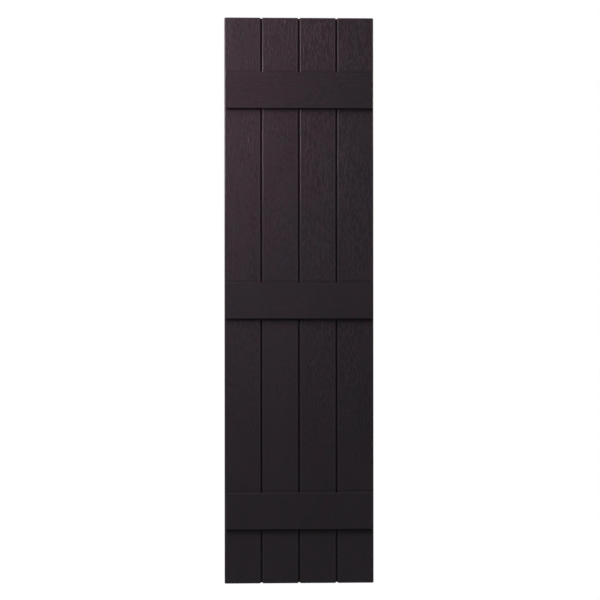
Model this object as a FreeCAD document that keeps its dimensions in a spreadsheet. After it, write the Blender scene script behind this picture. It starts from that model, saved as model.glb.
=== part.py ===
import FreeCAD, Part
import os

import Sketcher

# Board and batten shutter, moulded in plastic, as it hangs on a wall beside a window.
# Upright boards stand side by side, each a tray with a plain face, an open back and ribs.
# A lip on each board reaches behind the next one and closes the groove between them.
# Cross battens, trays too, sit on the faces and are screwed to every board from behind.
#
# Frame: millimetres, X to the right, Y towards the wall, Z up.
# The origin is the middle of the back, on the wall plane, so the faces look along -Y.

# Driving dimensions, written into the sheet.
SIZES = {
    # Boards.
    "board_length": 1397.0,
    "board_width": 89.625,
    "board_thickness": 16.0,
    "groove_width": 3.25,
    "board_wall": 2.5,
    "board_skin": 2.5,
    "board_edge_radius": 3.0,
    # Ribs on the open back of a board, with the draft that lets them leave the mould.
    "rib_thickness": 2.0,
    "rib_draft": 1.0,
    # Lip that closes a groove, and the room it has behind the next board.
    "lip_thickness": 3.0,
    "lip_overlap": 5.0,
    "lip_end_setback": 0.5,
    "lip_clearance": 0.3,
    # Battens.
    "batten_width": 89.0,
    "batten_thickness": 13.0,
    "batten_wall": 2.5,
    "batten_skin": 2.5,
    "batten_edge_radius": 1.0,
    "batten_side_inset": 3.0,
    "batten_end_distance": 136.0,
    "batten_rib_thickness": 2.0,
    # Screws: a pair through each board at each batten.
    "screw_spacing": 40.0,
    "screw_hole_diameter": 4.4,
    "screw_pad_width": 14.0,
    "screw_pad_height": 2.0,
    "pilot_diameter": 3.2,
    "pilot_depth": 9.0,
    "boss_width": 9.0,
}

BOARDS = ("board_1", "board_2", "board_3", "board_4")
CELL_ROWS = 13
BATTENS = ("top_batten", "middle_batten", "bottom_batten")

# Places that several pieces share, as sheet expressions.
PITCH = "(Sizes.board_width + Sizes.groove_width)"
PANEL_WIDTH = f"({len(BOARDS)} * {PITCH} - Sizes.groove_width)"
RIB_SETBACK = "(Sizes.lip_thickness + Sizes.lip_clearance)"
BATTEN_RISE = {
    "top_batten": "(Sizes.board_length / 2 - Sizes.batten_end_distance - Sizes.batten_width / 2)",
    "middle_batten": "0",
    "bottom_batten": "-(Sizes.board_length / 2 - Sizes.batten_end_distance - Sizes.batten_width / 2)",
}

ORIGIN = (-1, 1)
START, END, CENTRE = range(1, 4)


def board_place(index):
    """Expression for the X of a board's middle, counted from the left."""
    return f"({index - (len(BOARDS) - 1) / 2} * {PITCH})"


def make_sheet(doc):
    sheet = doc.addObject("Spreadsheet::Sheet", "Sizes")
    for row, (name, size) in enumerate(SIZES.items(), 1):
        sheet.set(f"A{row}", name)
        sheet.set(f"B{row}", str(size))
        sheet.setAlias(f"B{row}", name)
    doc.recompute()
    return sheet


def make_sketch(body, name, depth="0"):
    """Sketch facing the front, at that depth in front of the body's back plane."""
    plane = next(f for f in body.Origin.OriginFeatures if f.Role == "XZ_Plane")
    sketch = body.newObject("Sketcher::SketchObject", f"{body.Name}_{name}")
    sketch.AttachmentSupport = [(plane, "")]
    sketch.MapMode = "FlatFace"
    sketch.setExpression("AttachmentOffset.Base.z", depth)
    return sketch


def place_point(sketch, point, name, across, up):
    """Ties a sketch point to the origin by two named, signed distances."""
    for kind, axis, expression in (("DistanceX", "x", across), ("DistanceY", "y", up)):
        label = f"{name}_{axis}"
        number = sketch.addConstraint(Sketcher.Constraint(kind, *ORIGIN, *point, 1.0))
        sketch.renameConstraint(number, label)
        sketch.setExpression(f"Constraints.{label}", expression)


def add_rectangle(sketch, name, left, right, bottom, top):
    """Rectangle between four expressions for its sides."""
    first = sketch.GeometryCount
    corners = [FreeCAD.Vector(x, y, 0) for x, y in ((0, 0), (1, 0), (1, 1), (0, 1))]
    for start, end in zip(corners, corners[1:] + corners[:1]):
        sketch.addGeometry(Part.LineSegment(start, end), False)
    for side in range(4):
        following = first + (side + 1) % 4
        sketch.addConstraint(Sketcher.Constraint("Coincident", first + side, END, following, START))
        direction = "Vertical" if side % 2 else "Horizontal"
        sketch.addConstraint(Sketcher.Constraint(direction, first + side))
    place_point(sketch, (first, START), f"{name}_low", left, bottom)
    place_point(sketch, (first + 2, START), f"{name}_high", right, top)


def add_circle(sketch, name, diameter, across, up):
    number = sketch.GeometryCount
    sketch.addGeometry(Part.Circle(FreeCAD.Vector(0, 0, 0), FreeCAD.Vector(0, 0, 1), 1.0), False)
    size = sketch.addConstraint(Sketcher.Constraint("Diameter", number, 2.0))
    sketch.renameConstraint(size, f"{name}_diameter")
    sketch.setExpression(f"Constraints.{name}_diameter", diameter)
    place_point(sketch, (number, CENTRE), name, across, up)


def add_centred_rectangle(sketch, name, width, height, across="0", up="0"):
    sides = (f"{across} - {width} / 2", f"{across} + {width} / 2")
    ends = (f"{up} - {height} / 2", f"{up} + {height} / 2")
    add_rectangle(sketch, name, *sides, *ends)


def make_pad(body, sketch, length, towards_back=False):
    pad = body.newObject("PartDesign::Pad", f"{sketch.Name}_pad")
    pad.Profile = sketch
    pad.Reversed = towards_back
    pad.setExpression("Length", length)
    body.Document.recompute()
    return pad


def make_pocket(body, sketch, length, draft=None):
    """Cuts from the sketch towards the front, and makes sure that the cut takes material away."""
    volume_before = body.Shape.Volume
    pocket = body.newObject("PartDesign::Pocket", f"{sketch.Name}_pocket")
    pocket.Profile = sketch
    pocket.Reversed = True
    pocket.setExpression("Length", length)
    if draft:
        pocket.setExpression("TaperAngle", draft)
    body.Document.recompute()
    if not body.Shape.Volume < volume_before:
        raise RuntimeError(f"{pocket.Name} cuts nothing")
    return pocket


def round_front_edges(body, pad, radius, with_corners):
    """Rounds the edges round the front face, and if asked the four corners that lead to it."""
    front = pad.Shape.BoundBox.YMin
    back = pad.Shape.BoundBox.YMax
    rounded = []
    for number, edge in enumerate(pad.Shape.Edges, 1):
        reach = edge.BoundBox.YMin if with_corners else edge.BoundBox.YMax
        if reach - front < back - reach:
            rounded.append(f"Edge{number}")
    fillet = body.newObject("PartDesign::Fillet", f"{body.Name}_rounding")
    fillet.Base = (pad, rounded)
    fillet.setExpression("Radius", radius)
    body.Document.recompute()


def make_tray(doc, name, width, height, depth, edge_radius, round_corners):
    """Body with the tray's outer form: a slab with rounded front edges."""
    body = doc.addObject("PartDesign::Body", name)
    outline = make_sketch(body, "outline")
    add_centred_rectangle(outline, "outline", width, height)
    round_front_edges(body, make_pad(body, outline, depth), edge_radius, round_corners)
    return body


def add_lip(body):
    """Lip on the right edge, flush with the back, that reaches behind the next board."""
    sketch = make_sketch(body, "lip")
    half_length = "(Sizes.board_length / 2 - Sizes.lip_end_setback)"
    inner = "Sizes.board_width / 2 - Sizes.board_wall / 2"
    outer = "Sizes.board_width / 2 + Sizes.groove_width + Sizes.lip_overlap"
    add_rectangle(sketch, "lip", inner, outer, f"-{half_length}", half_length)
    make_pad(body, sketch, "Sizes.lip_thickness")


def cut_lip_seat(body):
    """Notch along the left wall and out through both ends for the lip of the board before this one."""
    sketch = make_sketch(body, "lip_seat")
    outer = "-(Sizes.board_width / 2 + Sizes.groove_width)"
    inner = "-(Sizes.board_width / 2 - Sizes.lip_overlap - Sizes.lip_clearance)"
    add_rectangle(sketch, "lip_seat", outer, inner, "-Sizes.board_length / 2", "Sizes.board_length / 2")
    make_pocket(body, sketch, RIB_SETBACK)


def hollow_board(body):
    """Opens the back down to the ribs, then cuts two columns of drafted cells between the ribs."""
    inside_width = "(Sizes.board_width - 2 * Sizes.board_wall)"
    inside_length = "(Sizes.board_length - 2 * Sizes.board_wall)"
    opening = make_sketch(body, "opening")
    add_centred_rectangle(opening, "opening", inside_width, inside_length)
    make_pocket(body, opening, RIB_SETBACK)

    row_pitch = f"(({inside_length} + Sizes.rib_thickness) / {CELL_ROWS})"
    low = f"-{inside_length} / 2"
    high = f"{low} + {row_pitch} - Sizes.rib_thickness"
    cells = make_sketch(body, "cells", RIB_SETBACK)
    add_rectangle(cells, "left_cell", f"-{inside_width} / 2", "-Sizes.rib_thickness / 2", low, high)
    add_rectangle(cells, "right_cell", "Sizes.rib_thickness / 2", f"{inside_width} / 2", low, high)
    cell_depth = f"Sizes.board_thickness - Sizes.board_skin - {RIB_SETBACK}"
    first_cells = make_pocket(body, cells, cell_depth, "-Sizes.rib_draft")

    rows = body.newObject("PartDesign::LinearPattern", f"{body.Name}_cell_rows")
    rows.Originals = [first_cells]
    rows.Direction = (cells, ["V_Axis"])
    rows.Mode = "Spacing"
    rows.Occurrences = CELL_ROWS
    rows.setExpression("Offset", row_pitch)
    body.Tip = rows
    body.Document.recompute()


def drill_board(body):
    """Raises a pad round each screw inside the tray, and drills through it and the face."""
    floor = "Sizes.board_thickness - Sizes.board_skin"
    pads = make_sketch(body, "screw_pads", floor)
    holes = make_sketch(body, "screw_holes", f"{floor} - Sizes.screw_pad_height")
    for batten in BATTENS:
        for side, sign in (("left", "-"), ("right", "")):
            name = f"{batten}_{side}"
            place = (f"{sign}Sizes.screw_spacing / 2", BATTEN_RISE[batten])
            add_centred_rectangle(pads, name, "Sizes.screw_pad_width", "Sizes.screw_pad_width", *place)
            add_circle(holes, name, "Sizes.screw_hole_diameter", *place)
    make_pad(body, pads, "Sizes.screw_pad_height", towards_back=True)
    make_pocket(body, holes, "Sizes.screw_pad_height + Sizes.board_skin")


def make_board(doc, index):
    name = BOARDS[index]
    size = ("Sizes.board_width", "Sizes.board_length", "Sizes.board_thickness")
    body = make_tray(doc, name, *size, "Sizes.board_edge_radius", round_corners=True)
    hollow_board(body)
    drill_board(body)
    if index > 0:
        cut_lip_seat(body)
    if index < len(BOARDS) - 1:
        add_lip(body)
    body.setExpression("Placement.Base.x", board_place(index))
    return body


def add_screw_bosses(body):
    """Bosses down to the boards' faces, joined by one rib along the batten, with blind pilot bores."""
    floor = "Sizes.batten_thickness - Sizes.batten_skin"
    rib = make_sketch(body, "rib", floor)
    rib_length = f"({PANEL_WIDTH} - 2 * Sizes.batten_side_inset - Sizes.batten_wall)"
    add_centred_rectangle(rib, "rib", rib_length, "Sizes.batten_rib_thickness")
    make_pad(body, rib, floor, towards_back=True)

    bosses = make_sketch(body, "bosses", floor)
    pilots = make_sketch(body, "pilots")
    for index, board in enumerate(BOARDS):
        for side, sign in (("left", "-"), ("right", "+")):
            name = f"{board}_{side}"
            across = f"{board_place(index)} {sign} Sizes.screw_spacing / 2"
            add_centred_rectangle(bosses, name, "Sizes.boss_width", "Sizes.boss_width", across)
            add_circle(pilots, name, "Sizes.pilot_diameter", across, "0")
    make_pad(body, bosses, floor, towards_back=True)
    make_pocket(body, pilots, "Sizes.pilot_depth")


def make_batten(doc, name):
    length = f"({PANEL_WIDTH} - 2 * Sizes.batten_side_inset)"
    size = (length, "Sizes.batten_width", "Sizes.batten_thickness")
    body = make_tray(doc, name, *size, "Sizes.batten_edge_radius", round_corners=False)
    opening = make_sketch(body, "opening")
    inside_length = f"({length} - 2 * Sizes.batten_wall)"
    inside_width = "(Sizes.batten_width - 2 * Sizes.batten_wall)"
    add_centred_rectangle(opening, "opening", inside_length, inside_width)
    make_pocket(body, opening, "Sizes.batten_thickness - Sizes.batten_skin")
    add_screw_bosses(body)
    body.setExpression("Placement.Base.y", "-Sizes.board_thickness")
    body.setExpression("Placement.Base.z", BATTEN_RISE[name])
    return body


def check(doc, pieces):
    for item in doc.Objects:
        if "Invalid" in item.State or "Error" in item.State:
            raise RuntimeError(f"{item.Label} failed: {item.State}")
    for piece in pieces:
        shape = piece.Shape
        if shape.isNull() or not shape.isValid() or len(shape.Solids) != 1:
            raise RuntimeError(f"{piece.Label} is not one valid solid")


def main():
    doc = FreeCAD.newDocument("shutter")
    make_sheet(doc)
    pieces = [make_board(doc, index) for index in range(len(BOARDS))]
    pieces += [make_batten(doc, name) for name in BATTENS]
    doc.recompute()
    check(doc, pieces)
    os.makedirs("parts", exist_ok=True)
    for piece in pieces:
        piece.Shape.exportStep(f"parts/{piece.Label}.step")
        print(piece.Label, round(piece.Shape.Volume), piece.Shape.BoundBox)


main()
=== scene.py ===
import math

import bmesh
import bpy
from mathutils import Matrix, Vector, noise


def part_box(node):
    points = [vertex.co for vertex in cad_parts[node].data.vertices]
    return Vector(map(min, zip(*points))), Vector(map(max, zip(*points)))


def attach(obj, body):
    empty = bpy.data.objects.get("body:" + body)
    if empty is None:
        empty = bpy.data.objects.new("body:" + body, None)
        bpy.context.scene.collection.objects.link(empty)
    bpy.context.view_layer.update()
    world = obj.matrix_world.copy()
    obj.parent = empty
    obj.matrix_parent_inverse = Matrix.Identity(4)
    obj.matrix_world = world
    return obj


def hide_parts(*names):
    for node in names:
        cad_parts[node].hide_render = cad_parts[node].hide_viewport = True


# A board and batten shutter, moulded in dark plum plastic with an embossed wood grain.
# Metres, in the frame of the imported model: X to the right, Y towards the wall, Z up.

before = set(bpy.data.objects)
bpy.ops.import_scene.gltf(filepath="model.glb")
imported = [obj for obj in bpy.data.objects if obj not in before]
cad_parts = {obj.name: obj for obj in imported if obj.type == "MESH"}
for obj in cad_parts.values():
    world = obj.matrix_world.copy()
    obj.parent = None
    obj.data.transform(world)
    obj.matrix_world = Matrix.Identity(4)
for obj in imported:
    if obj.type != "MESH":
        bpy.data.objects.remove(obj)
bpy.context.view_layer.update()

MM = 0.001
X_AXIS = 0
Z_AXIS = 2

# Points nearer than a hair count as one. The grid and the rim that it meets are merged with more room.
HAIR = 0.001 * MM
GRID_MERGE = 0.01 * MM

# Edges sharper than this, in degrees, stay hard.
HARD_EDGE = 32.0

# Where in the grain's pattern each board is cut from, and how strongly it shows the grain.
BOARDS = {
    "board_1": {"seed": 11.0, "strength": 1.4},
    "board_2": {"seed": 16.7, "strength": 1.35},
    "board_3": {"seed": 22.4, "strength": 2.9},
    "board_4": {"seed": 28.1, "strength": 3.2},
}

# The same for the battens, with their tone as a share of the boards' and the tone of their edges.
# Their tone is painted shade, darkest on the top batten. Their edge tone paints shade on the top and middle
# battens' rounded edges and a highlight on the bottom batten's.
# An edge tone of 1 is as dark as the deepest grain, 0 as pale as its ridges, and less is paler still.
BATTENS = {
    "top_batten": {"seed": 41.0, "strength": 0.7, "tone": 0.87, "painted_edge_tone": 1.0},
    "middle_batten": {"seed": 47.3, "strength": 0.57, "tone": 0.93, "painted_edge_tone": 0.9},
    "bottom_batten": {"seed": 53.6, "strength": 2.4, "tone": 0.98, "painted_edge_tone": -1.2},
}
# The boards' edges keep the pale tone of the grain's ridges, a little painted highlight on their rounded
# edges.
BOARD_TONE = 1.0
BOARD_PAINTED_EDGE_TONE = 0.0

# Screws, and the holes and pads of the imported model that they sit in.
SCREW_SPACING = 40 * MM
SCREW_HOLE_RADIUS = 2.2 * MM
SCREW_HOLE_SLACK = 0.1 * MM
SCREW_SEAT = -11.5 * MM
CROWN_RADIUS = 1.9 * MM
CROWN_SEGMENTS = 24
HEAD_HEIGHT = 2.4 * MM
HEAD_RADIUS = 4.0 * MM
RECESS_ARM = 1.35 * MM
RECESS_HALF = 0.38 * MM
RECESS_DEPTH = 1.5 * MM
RECESS_TAPER = 0.5
SCREW_TURN = 1.7

# Mesh of a grained face: steps across and along the grain.
STEP_ACROSS = 0.8 * MM
STEP_ALONG = 3.0 * MM

# Relief: the depth of the grain, its fade at a face's edges, and how much of a rounded edge gets the painted
# edge tone.
# The grain layer holds the grain's depth, and also the painted shade and highlight of the edges and of the
# lines along the battens.
GRAIN_AND_SHADE_LAYER = "grain_depth"
GRAIN_DEPTH = 0.46 * MM
GRAIN_EDGE_FADE = 2.0 * MM
EDGE_ROUND = 1.2 * MM

# Sunk line on the boards along each batten, which the grain layer also darkens as painted shade: its width,
# and how much of that slopes up again.
SEAT_SHADE_LINE = 7.5 * MM
SEAT_SHADE_LINE_FADE = 3.0 * MM

# Growth rings, in mm. They lie round a heart behind the face, which slopes, waves and sways along the grain.
RING_PITCH = 6.5
RING_WANDER = 1.6
RING_WANDER_SIZE = (16.0, 110.0)
HEART_DEPTH = 20.0
HEART_SLOPE = 0.035
HEART_WAVE = 9.0
HEART_WAVE_LENGTH = 330.0
HEART_SWAY = 5.0
HEART_SWAY_LENGTH = 260.0
HEART_OFFSET = 8.0

# Layers of the noise that the rings and the marks are read from.
SWAY_LAYER = 0.5
WAVE_LAYER = 7.5
STROKE_LAYER = 3.3
PORE_LAYER = 5.1
PATCH_LAYER = 8.7

# Marks of the grain: their size across and along it, in mm, and how much each kind adds to the depth.
MEAN_DEPTH = 0.42
STROKE_SIZE = (2.4, 9.5)
STROKE_SLANT = 0.12
STROKE_SHARE = 0.9
PORE_SIZE = (1.7, 5.5)
PORE_SHARE = 0.5
RING_SHARE = 0.25
PATCH_SIZE = (40.0, 90.0)
PATCH_MEAN = 0.65
PATCH_SHARE = 0.9

# How crisply the grain shows: it gains with the height, per metre, and dies away near the bottom.
CRISP_MIDDLE = 0.72
CRISP_GAIN = 1.2
FAINT = 0.1
FAINT_HEIGHT = -0.41
FAINT_GAIN = 2.1

# Plum plastic between a reddish and a greyish tone, mottled and also leaning as painted light, each darker
# in the grain than on its ridges.
REDDISH = (0.0436, 0.0283, 0.0359)
GREYISH = (0.0364, 0.0307, 0.0369)
DARK_SHARE = 0.76
LIGHT_SHARE = 1.24
MOTTLE = 2.4
SHEEN_LEVEL = 0.25

# How pale the plastic is between its dark and light tones, and how patches, streaks and grain change that.
PALENESS = 0.3
PATCH_PALENESS = 0.5
STREAK_PALENESS = 0.6
GRAIN_DARKNESS = 0.9

# Skin of the plastic: its roughness, what streaks and grain add to that, and its fine relief.
SKIN_ROUGHNESS = 0.17
STREAK_ROUGHNESS = 0.08
GRAIN_ROUGHNESS = 0.04
FINE_GRAIN_HEIGHT = 0.08 * MM
STREAK_RELIEF = 0.8
SKIN_RELIEF = 0.2

# Painted light: the tone leans from reddish at the upper left, where the warm key light falls, to greyish at
# the right and below, sooner on the battens.
LIGHT_TINT_HEIGHT = 0.63
LIGHT_TINT_START = -0.3
LIGHT_TINT_END = -0.06
LIGHT_TINT_LEAST = 0.05
LIGHT_TINT_MOST = 0.78
BOARD_LIGHT_TINT_SHIFT = 0.0
BATTEN_LIGHT_TINT_SHIFT = 0.15

# Noise in the finishes: its scale, and its stretch along each axis.
STREAK_SCALE = 900.0
STREAK_STRETCH = 0.05
PATCH_SCALE = 9.0
PATCH_STRETCH = (1.0, 1.0, 0.4)
MOTTLE_SCALE = 42.0
MOTTLE_STRETCH = (1.0, 1.0, 0.7)
SKIN_SCALE = 1800.0
SPANGLE_SCALE = 700.0
SPECKLE_SCALE = 60.0
EVEN = (1.0, 1.0, 1.0)

# Zinc plate, dull to bright, and its roughness.
ZINC_DULL = (0.42, 0.41, 0.38, 1.0)
ZINC_BRIGHT = (0.62, 0.61, 0.58, 1.0)
ZINC_ROUGHNESS = 0.28
SPANGLE_ROUGHNESS = 0.2

# Stage: the room's light and colour, and the floor's middle, reach and paint.
WHITE = (1.0, 1.0, 1.0, 1.0)
ROOM_COLOUR = (0.98, 0.98, 1.0, 1.0)
ROOM_LIGHT = 0.15
SKY_LIGHT = 0.15
BACKDROP_START = 0.6
BACKDROP_END = 0.95
FLOOR_MIDDLE = (0.0, -0.9, -0.98)
FLOOR_REACH = (3.0, 2.0, 1.0)
FLOOR_DARK = (0.84, 0.84, 0.84, 1.0)
FLOOR_PALE = (0.9, 0.9, 0.9, 1.0)
FLOOR_BOUNCE = (0.12, 0.12, 0.12, 1.0)
FLOOR_ROUGHNESS = 0.8
FLOOR_WHITE_NEAR = 0.45
FLOOR_WHITE_GLOSS = 0.2
FLOOR_FADE_START = 0.45
FLOOR_FADE_END = 0.98

# Camera: its distance, the size of one pixel at the shutter, its aim, and its turn and roll in degrees.
IMAGE_WIDTH = 600
SENSOR_WIDTH = 36.0
CAMERA_DISTANCE = 4.0
PIXEL = 2.4695 * MM
AIM = Vector((0.9 * PIXEL, -16 * MM, 0.5 * PIXEL))
TURN_LEFT = 2.0
ROLL = -0.035


class Socket:
    """A shader socket. An expression on sockets and numbers adds the Math nodes that work it out."""

    def __init__(self, finish, socket):
        self.finish = finish
        self.socket = socket

    def math(self, operation, *values):
        return self.finish.node("ShaderNodeMath", {"operation": operation}, dict(enumerate(values)))

    def __add__(self, other):
        return self.math("ADD", self, other)

    def __sub__(self, other):
        return self.math("SUBTRACT", self, other)

    def __rsub__(self, other):
        return self.math("SUBTRACT", other, self)

    def __mul__(self, other):
        return self.math("MULTIPLY", self, other)

    __radd__ = __add__
    __rmul__ = __mul__


class Finish:
    """Node tree of a material or of the world."""

    def __init__(self, owner):
        owner.use_nodes = True
        self.tree = owner.node_tree
        self.tree.nodes.clear()

    def node(self, kind, settings=None, inputs=None, output=0):
        """Adds a node, sets it up, feeds its inputs and returns one output if it has any."""
        made = self.tree.nodes.new(kind)
        for name, value in (settings or {}).items():
            setattr(made, name, value)
        for name, value in (inputs or {}).items():
            if isinstance(value, Socket):
                self.tree.links.new(value.socket, made.inputs[name])
            else:
                made.inputs[name].default_value = value
        return Socket(self, made.outputs[output]) if len(made.outputs) else None

    def place(self):
        return self.node("ShaderNodeTexCoord", output="Object")

    def ray(self, kind):
        return self.node("ShaderNodeLightPath", output=f"Is {kind} Ray")

    def part(self, vector, axis):
        return self.node("ShaderNodeSeparateXYZ", inputs={0: vector}, output=axis)

    def mix_colours(self, amount, first, second):
        settings = {"data_type": "RGBA"}
        return self.node("ShaderNodeMix", settings, {0: amount, 6: first, 7: second}, output=2)

    def smooth_step(self, value, start, end):
        settings = {"interpolation_type": "SMOOTHSTEP"}
        limits = {"Value": value, "From Min": start, "From Max": end}
        return self.node("ShaderNodeMapRange", settings, limits)

    def stretched_noise(self, scale, stretch, detail):
        """Noise on Object coordinates, drawn out by the stretch along each axis."""
        drawn = self.node("ShaderNodeMapping", inputs={"Vector": self.place(), "Scale": stretch})
        return self.node("ShaderNodeTexNoise", inputs={"Vector": drawn, "Scale": scale, "Detail": detail})


# Finishes

def mottled_plum(finish, mottle_and_light_tint, tone):
    """Colour between the reddish and the greyish plum, in a darker or a lighter tone."""
    reddish, greyish = ((*(tone * part for part in plum), 1.0) for plum in (REDDISH, GREYISH))
    return finish.mix_colours(mottle_and_light_tint, reddish, greyish)


def moulded_plastic(name, grain_axis, tone, light_tint_shift):
    """Plastic coloured through, with a soft sheen and a fine grain along one axis over the moulded one."""
    material = bpy.data.materials.new(name)
    finish = Finish(material)
    along = [1.0, 1.0, 1.0]
    along[grain_axis] = STREAK_STRETCH
    streaks = finish.stretched_noise(STREAK_SCALE, along, detail=2.0)
    patches = finish.stretched_noise(PATCH_SCALE, PATCH_STRETCH, detail=2.0)
    blotches = finish.stretched_noise(MOTTLE_SCALE, MOTTLE_STRETCH, detail=1.0)
    skin = finish.stretched_noise(SKIN_SCALE, EVEN, detail=2.0)
    # The grain layer darkens the grain, and with it the painted shade and highlight of the edges and of the
    # lines along the battens.
    depth = finish.node("ShaderNodeAttribute", {"attribute_name": GRAIN_AND_SHADE_LAYER}, output="Fac")

    # Painted light: a warm tint towards the upper left, with random mottle on top.
    place = finish.place()
    slant = finish.part(place, "X") - LIGHT_TINT_HEIGHT * finish.part(place, "Z") + light_tint_shift
    painted_light_tint = finish.node("ShaderNodeMapRange", inputs={
        "Value": slant, "From Min": LIGHT_TINT_START, "From Max": LIGHT_TINT_END,
        "To Min": LIGHT_TINT_LEAST, "To Max": LIGHT_TINT_MOST})
    mottle_and_light_tint = painted_light_tint + MOTTLE * (blotches - 0.5)
    dark = mottled_plum(finish, mottle_and_light_tint, DARK_SHARE * tone)
    light = mottled_plum(finish, mottle_and_light_tint, LIGHT_SHARE * tone)
    shade = PATCH_PALENESS * patches + STREAK_PALENESS * streaks + PALENESS - GRAIN_DARKNESS * depth
    colour = finish.mix_colours(shade, dark, light)

    roughness = SKIN_ROUGHNESS + STREAK_ROUGHNESS * streaks + GRAIN_ROUGHNESS * depth
    relief = STREAK_RELIEF * streaks + SKIN_RELIEF * skin
    bump = {"Strength": 1.0, "Distance": FINE_GRAIN_HEIGHT, "Height": relief}
    normal = finish.node("ShaderNodeBump", inputs=bump)
    shader = finish.node("ShaderNodeBsdfPrincipled", inputs={
        "Base Color": colour, "Roughness": roughness, "Normal": normal, "Specular IOR Level": SHEEN_LEVEL})
    finish.node("ShaderNodeOutputMaterial", inputs={"Surface": shader})
    return material


def zinc_plate(name):
    """Zinc-plated steel, slightly mottled."""
    material = bpy.data.materials.new(name)
    finish = Finish(material)
    spangle = finish.stretched_noise(SPANGLE_SCALE, EVEN, detail=3.0)
    colour = finish.mix_colours(spangle, ZINC_DULL, ZINC_BRIGHT)
    roughness = ZINC_ROUGHNESS + SPANGLE_ROUGHNESS * spangle
    surface = {"Base Color": colour, "Roughness": roughness, "Metallic": 1.0}
    shader = finish.node("ShaderNodeBsdfPrincipled", inputs=surface)
    finish.node("ShaderNodeOutputMaterial", inputs={"Surface": shader})
    return material


def floor_paint(name):
    """Pale paint that runs out into white away from the floor's middle, and throws little light back."""
    material = bpy.data.materials.new(name)
    finish = Finish(material)
    camera = finish.ray("Camera")
    glossy = finish.ray("Glossy")
    speckle = finish.stretched_noise(SPECKLE_SCALE, EVEN, detail=4.0)
    seen = finish.mix_colours(speckle, FLOOR_DARK, FLOOR_PALE)
    colour = finish.mix_colours(camera, FLOOR_BOUNCE, seen)
    surface = {"Base Color": colour, "Roughness": FLOOR_ROUGHNESS}
    paint = finish.node("ShaderNodeBsdfPrincipled", inputs=surface)
    spot = finish.node("ShaderNodeMapping", {"vector_type": "TEXTURE"},
                       {"Vector": finish.place(), "Location": FLOOR_MIDDLE, "Scale": FLOOR_REACH})
    reach = finish.node("ShaderNodeVectorMath", {"operation": "LENGTH"}, {0: spot}, output="Value")
    away = finish.smooth_step(reach, FLOOR_FADE_START, FLOOR_FADE_END)
    whiteness = camera * (FLOOR_WHITE_NEAR + (1.0 - FLOOR_WHITE_NEAR) * away) + FLOOR_WHITE_GLOSS * glossy
    white = finish.node("ShaderNodeEmission", inputs={"Color": WHITE, "Strength": 1.0})
    pale = finish.node("ShaderNodeMixShader", inputs={0: whiteness, 1: paint, 2: white})
    finish.node("ShaderNodeOutputMaterial", inputs={"Surface": pale})
    return material


# Grain

def marks(across, along, size, seed):
    """Noise from -1 to 1, with marks of the given size across and along the grain."""
    return noise.noise((across / size[0], along / size[1], seed))


def grain_depth(across, along, seed, strength):
    """How deep the mould's wood grain is pressed at a place on a face, from 0 to 1. Places in mm."""
    sway = HEART_SWAY * noise.noise((along / HEART_SWAY_LENGTH, seed, SWAY_LAYER))
    wave = HEART_WAVE * noise.noise((along / HEART_WAVE_LENGTH, seed, WAVE_LAYER))
    wander = RING_WANDER * marks(across, along, RING_WANDER_SIZE, seed)
    aside = across - sway - HEART_OFFSET * math.sin(seed)
    radius = math.hypot(aside, HEART_DEPTH + HEART_SLOPE * along + wave) + wander
    ring = (radius / RING_PITCH) % 1.0
    strokes = marks(across + STROKE_SLANT * along, along, STROKE_SIZE, seed + STROKE_LAYER)
    pores = marks(across, along, PORE_SIZE, seed + PORE_LAYER)
    patches = marks(across, along, PATCH_SIZE, seed + PATCH_LAYER)
    local = strength * (PATCH_MEAN + PATCH_SHARE * patches)
    depth = MEAN_DEPTH + local * (STROKE_SHARE * strokes + PORE_SHARE * pores + RING_SHARE * ring ** 3)
    return min(1.0, max(0.0, depth))


def crispness(height):
    """How crisply the grain shows at a height above the shutter's middle."""
    dying = FAINT + FAINT_GAIN * (height - FAINT_HEIGHT)
    return max(FAINT, min(CRISP_MIDDLE + CRISP_GAIN * height, dying))


def seat_depth_and_shade(height, depth, seats):
    """A board is flat where a batten sits on it, with a fine sunk line along the batten's edges, darkened as
    painted shade.
    """
    for bottom, top in seats:
        beyond = max(bottom - height, height - top)
        if beyond < 0.0:
            return 0.0
        depth = max(depth, min(1.0, (SEAT_SHADE_LINE - beyond) / SEAT_SHADE_LINE_FADE))
    return depth


# Meshes

def make_piece(name, bm, material):
    """Object from a finished bmesh, smooth apart from its hard edges, that rides on the frame."""
    mesh = bpy.data.meshes.new(name)
    bm.to_mesh(mesh)
    bm.free()
    copied_normals = mesh.attributes.get("custom_normal")
    if copied_normals:
        mesh.attributes.remove(copied_normals)
    for polygon in mesh.polygons:
        polygon.use_smooth = True
    mesh.set_sharp_from_angle(angle=math.radians(HARD_EDGE))
    mesh.materials.append(material)
    piece = bpy.data.objects.new(name, mesh)
    bpy.context.scene.collection.objects.link(piece)
    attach(piece, "root")
    return piece


def copy_node(name):
    bm = bmesh.new()
    bm.from_mesh(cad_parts[name].data)
    bmesh.ops.remove_doubles(bm, verts=bm.verts, dist=HAIR)
    return bm


def stop_screw_holes(bm, places):
    """Closes the holes that the screws fill: their walls go, and their seats become whole."""
    reach = SCREW_HOLE_RADIUS + SCREW_HOLE_SLACK
    walls = []
    for x, z in places:
        for face in bm.faces:
            if all(math.hypot(v.co.x - x, v.co.z - z) < reach for v in face.verts):
                walls.append(face)
    bmesh.ops.delete(bm, geom=walls, context="FACES")
    open_edges = [e for e in bm.edges if e.is_boundary]
    bmesh.ops.holes_fill(bm, edges=open_edges, sides=0)


def open_front(bm, front):
    """Deletes the flat front face and returns the edges round the opening."""
    flat = [f for f in bm.faces if all(v.co.y < front + HAIR for v in f.verts)]
    bmesh.ops.delete(bm, geom=flat, context="FACES")
    return [e for e in bm.edges if e.is_boundary and all(v.co.y < front + HAIR for v in e.verts)]


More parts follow.
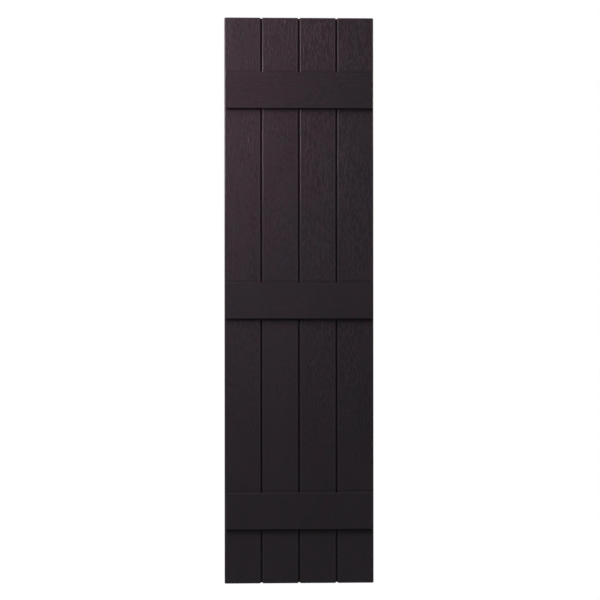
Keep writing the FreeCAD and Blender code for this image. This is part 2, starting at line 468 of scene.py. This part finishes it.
def fill_front(bm, rim, low, high, grain_axis):
    """Fills the opening with a fine grid, cuts its rim to match and returns the grid's vertices."""
    size = high - low
    steps = [STEP_ACROSS, STEP_ACROSS, STEP_ACROSS]
    steps[grain_axis] = STEP_ALONG
    columns = round(size.x / steps[X_AXIS])
    rows = round(size.z / steps[Z_AXIS])
    level = [e for e in rim if abs(e.verts[0].co.z - e.verts[1].co.z) < HAIR]
    upright = [e for e in rim if e not in level]
    bmesh.ops.subdivide_edges(bm, edges=level, cuts=columns - 1)
    bmesh.ops.subdivide_edges(bm, edges=upright, cuts=rows - 1)
    stand_up = Matrix.Rotation(math.radians(90.0), 4, "X")
    place = Matrix.Translation((low + high) / 2) @ stand_up @ Matrix.Diagonal((size.x, size.z, 1.0, 1.0))
    return bmesh.ops.create_grid(bm, x_segments=columns, y_segments=rows, size=0.5, matrix=place)["verts"]


def grain_front(bm, grain_axis, look, painted_edge_tone, seats=()):
    """Puts a fine mesh with embossed grain in the place of the flat front face, and gives the rounded edges
    their painted edge tone.
    """
    grain_and_shade_layer = bm.verts.layers.float.new(GRAIN_AND_SHADE_LAYER)
    front = min(v.co.y for v in bm.verts)
    # Painted edge tone on the rounded edges: dark where it paints shade, pale where it paints a highlight.
    for vert in bm.verts:
        if vert.co.y < front + EDGE_ROUND:
            vert[grain_and_shade_layer] = painted_edge_tone
    rim = open_front(bm, front)
    corners = [v.co for e in rim for v in e.verts]
    low = Vector(map(min, zip(*corners)))
    high = Vector(map(max, zip(*corners)))
    middle = (low + high) / 2
    across_axis = X_AXIS + Z_AXIS - grain_axis
    for vert in fill_front(bm, rim, low, high, grain_axis):
        to_edge = min(vert.co.x - low.x, high.x - vert.co.x, vert.co.z - low.z, high.z - vert.co.z)
        fade = min(1.0, max(0.0, to_edge / GRAIN_EDGE_FADE))
        across = (vert.co[across_axis] - middle[across_axis]) / MM
        along = vert.co[grain_axis] / MM
        depth = grain_depth(across, along, look["seed"], look["strength"] * crispness(vert.co.z))
        depth = fade * seat_depth_and_shade(vert.co.z, depth, seats)
        vert[grain_and_shade_layer] = painted_edge_tone if to_edge < GRID_MERGE else depth
        vert.co.y += depth * GRAIN_DEPTH
    bmesh.ops.remove_doubles(bm, verts=bm.verts, dist=GRID_MERGE)


def board_middle(name):
    """The last board has no lip on its right, so its box gives the width of every board."""
    low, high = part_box("board_4")
    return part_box(name)[0].x + (high.x - low.x) / 2


def make_board(name, look, plastic):
    bm = copy_node(name)
    seats = [(bottom.z, top.z) for bottom, top in map(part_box, BATTENS)]
    sides = [board_middle(name) + side * SCREW_SPACING / 2 for side in (-1, 1)]
    stop_screw_holes(bm, [(x, sum(seat) / 2) for x in sides for seat in seats])
    grain_front(bm, Z_AXIS, look, BOARD_PAINTED_EDGE_TONE, seats)
    board = make_piece(f"{name}_moulding", bm, plastic)
    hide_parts(name)


def make_batten(name, look, plastic):
    bm = copy_node(name)
    grain_front(bm, X_AXIS, look, look["painted_edge_tone"])
    batten = make_piece(f"{name}_moulding", bm, plastic)
    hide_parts(name)


# Screws

def extrude_loop(bm, edges):
    """Extrudes a closed loop of edges and returns the new loop's vertices and edges."""
    grown = bmesh.ops.extrude_edge_only(bm, edges=edges)["geom"]
    verts = [g for g in grown if isinstance(g, bmesh.types.BMVert)]
    loop = [g for g in grown if isinstance(g, bmesh.types.BMEdge) and set(g.verts) <= set(verts)]
    return verts, loop


def add_screw(bm, place):
    """Pan head with a cross recess, its axis along +Z and its crown at the origin before it is placed."""
    crown = bmesh.ops.create_circle(bm, segments=CROWN_SEGMENTS, radius=CROWN_RADIUS)["verts"]
    quarter_outline = ((RECESS_ARM, RECESS_HALF), (RECESS_HALF, RECESS_HALF), (RECESS_HALF, RECESS_ARM))
    cross = []
    for quarter in range(4):
        turn = Matrix.Rotation(quarter * math.pi / 2, 3, "Z")
        cross += [bm.verts.new(turn @ Vector((x, y, 0.0))) for x, y in quarter_outline]
    cross_edges = [bm.edges.new((a, b)) for a, b in zip(cross, cross[1:] + cross[:1])]
    crown_edges = list({e for v in crown for e in v.link_edges})
    bmesh.ops.bridge_loops(bm, edges=cross_edges + crown_edges)
    made = crown + cross

    # Rings of the head below its crown: radius and depth.
    shoulders = ((3.0 * MM, 0.25 * MM), (3.75 * MM, 0.75 * MM), (HEAD_RADIUS, 1.45 * MM))
    loop = crown_edges
    for radius, drop in (*shoulders, (HEAD_RADIUS, HEAD_HEIGHT)):
        ring, loop = extrude_loop(bm, loop)
        for vert in ring:
            flat = vert.co.xy.normalized() * radius
            vert.co = (flat.x, flat.y, -drop)
        made += ring
    bmesh.ops.holes_fill(bm, edges=loop, sides=0)

    ring, loop = extrude_loop(bm, cross_edges)
    for vert in ring:
        vert.co = (vert.co.x * RECESS_TAPER, vert.co.y * RECESS_TAPER, -RECESS_DEPTH)
    made += ring
    bmesh.ops.holes_fill(bm, edges=loop, sides=0)
    bmesh.ops.transform(bm, matrix=place, verts=made)


def make_screws(batten, steel):
    """Two screws for each board, driven into the batten from behind and each turned its own way."""
    bm = bmesh.new()
    height = sum(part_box(batten), Vector()).z / 2
    head_back = Matrix.Rotation(math.radians(-90.0), 4, "X")
    for number, board in enumerate(BOARDS):
        for side in (-1, 1):
            x = board_middle(board) + side * SCREW_SPACING / 2
            spot = Matrix.Translation((x, SCREW_SEAT + HEAD_HEIGHT, height))
            turn = Matrix.Rotation(SCREW_TURN * number + side, 4, "Z")
            add_screw(bm, spot @ head_back @ turn)
    bmesh.ops.recalc_face_normals(bm, faces=bm.faces)
    screws = make_piece(batten.replace("batten", "screws"), bm, steel)


# Stage

def make_world():
    """White to the camera. Reflections see a white backdrop behind the shutter and a dim room before it."""
    world = bpy.data.worlds.new("studio")
    bpy.context.scene.world = world
    finish = Finish(world)
    direction = finish.node("ShaderNodeTexCoord", output="Generated")
    behind = finish.smooth_step(finish.part(direction, "Y"), BACKDROP_START, BACKDROP_END)
    shown = finish.ray("Camera") + (finish.ray("Glossy") + finish.ray("Transmission")) * behind
    height = finish.part(direction, "Z")
    light = ROOM_LIGHT + SKY_LIGHT * height.math("MAXIMUM", height, 0.0)
    room = finish.node("ShaderNodeBackground", inputs={"Color": ROOM_COLOUR, "Strength": light})
    white = finish.node("ShaderNodeBackground", inputs={"Color": WHITE, "Strength": 1.0})
    both = finish.node("ShaderNodeMixShader", inputs={0: shown, 1: room, 2: white})
    finish.node("ShaderNodeOutputWorld", inputs={"Surface": both})


def make_lamp(name, place, target, width, spread, power, colour):
    """Round lamp that faces its target, with its spread in degrees."""
    lamp = bpy.data.lights.new(name, "AREA")
    lamp.shape = "DISK"
    lamp.size = width
    lamp.spread = math.radians(spread)
    lamp.energy = power
    lamp.color = colour
    stand = bpy.data.objects.new(name, lamp)
    stand.location = place
    stand.rotation_euler = (Vector(target) - Vector(place)).to_track_quat("-Z", "Y").to_euler()
    bpy.context.scene.collection.objects.link(stand)


def make_lamps():
    make_lamp("key", place=(-1.65, -1.9, 0.92), target=(-1.1, 0.0, 0.7),
              width=1.0, spread=60.0, power=16.2, colour=(1.0, 0.89, 0.93))
    make_lamp("overhead", place=(-1.5, -2.5, 2.4), target=(0.0, 0.0, -0.3),
              width=1.9, spread=180.0, power=61.0, colour=(1.0, 0.97, 1.0))
    make_lamp("back_lamp", place=(0.7, 1.5, 0.9), target=(0.0, 0.0, 0.0),
              width=0.9, spread=180.0, power=14.0, colour=(1.0, 0.99, 0.98))


def make_floor():
    """Floor below the shutter, out of sight in the photo's view."""
    bm = bmesh.new()
    bmesh.ops.create_grid(bm, x_segments=1, y_segments=1, size=1.0)
    spread = Matrix.Translation(FLOOR_MIDDLE) @ Matrix.Diagonal((*FLOOR_REACH, 1.0))
    bmesh.ops.transform(bm, verts=bm.verts, matrix=spread)
    mesh = bpy.data.meshes.new("floor")
    bm.to_mesh(mesh)
    bm.free()
    mesh.materials.append(floor_paint("floor_paint"))
    floor = bpy.data.objects.new("floor", mesh)
    bpy.context.scene.collection.objects.link(floor)


def make_camera():
    """Level and almost square on, a little to the left and rolled by a hair, as the photo shows."""
    data = bpy.data.cameras.new("camera")
    data.sensor_width = SENSOR_WIDTH
    data.lens = SENSOR_WIDTH * CAMERA_DISTANCE / (IMAGE_WIDTH * PIXEL)
    camera = bpy.data.objects.new("camera", data)
    left = math.radians(TURN_LEFT)
    away = Vector((-math.sin(left), -math.cos(left), 0.0))
    camera.location = AIM + CAMERA_DISTANCE * away
    facing = (-away).to_track_quat("-Z", "Y").to_matrix()
    camera.rotation_euler = (facing @ Matrix.Rotation(math.radians(ROLL), 3, "Z")).to_euler()
    bpy.context.scene.collection.objects.link(camera)
    bpy.context.scene.camera = camera


def main():
    bpy.context.scene.view_settings.view_transform = "Standard"
    board_plastic = moulded_plastic("upright_grain_plastic", Z_AXIS, BOARD_TONE, BOARD_LIGHT_TINT_SHIFT)
    steel = zinc_plate("zinc_plate")
    for name, look in BOARDS.items():
        make_board(name, look, board_plastic)
    # Each batten has its own copy of the plastic, its tone painted shade, darkest on the top batten.
    for name, look in BATTENS.items():
        shaded_batten_plastic = moulded_plastic(f"{name}_plastic", X_AXIS, look["tone"], BATTEN_LIGHT_TINT_SHIFT)
        make_batten(name, look, shaded_batten_plastic)
        make_screws(name, steel)
    make_camera()
    make_world()
    make_lamps()
    make_floor()


main()
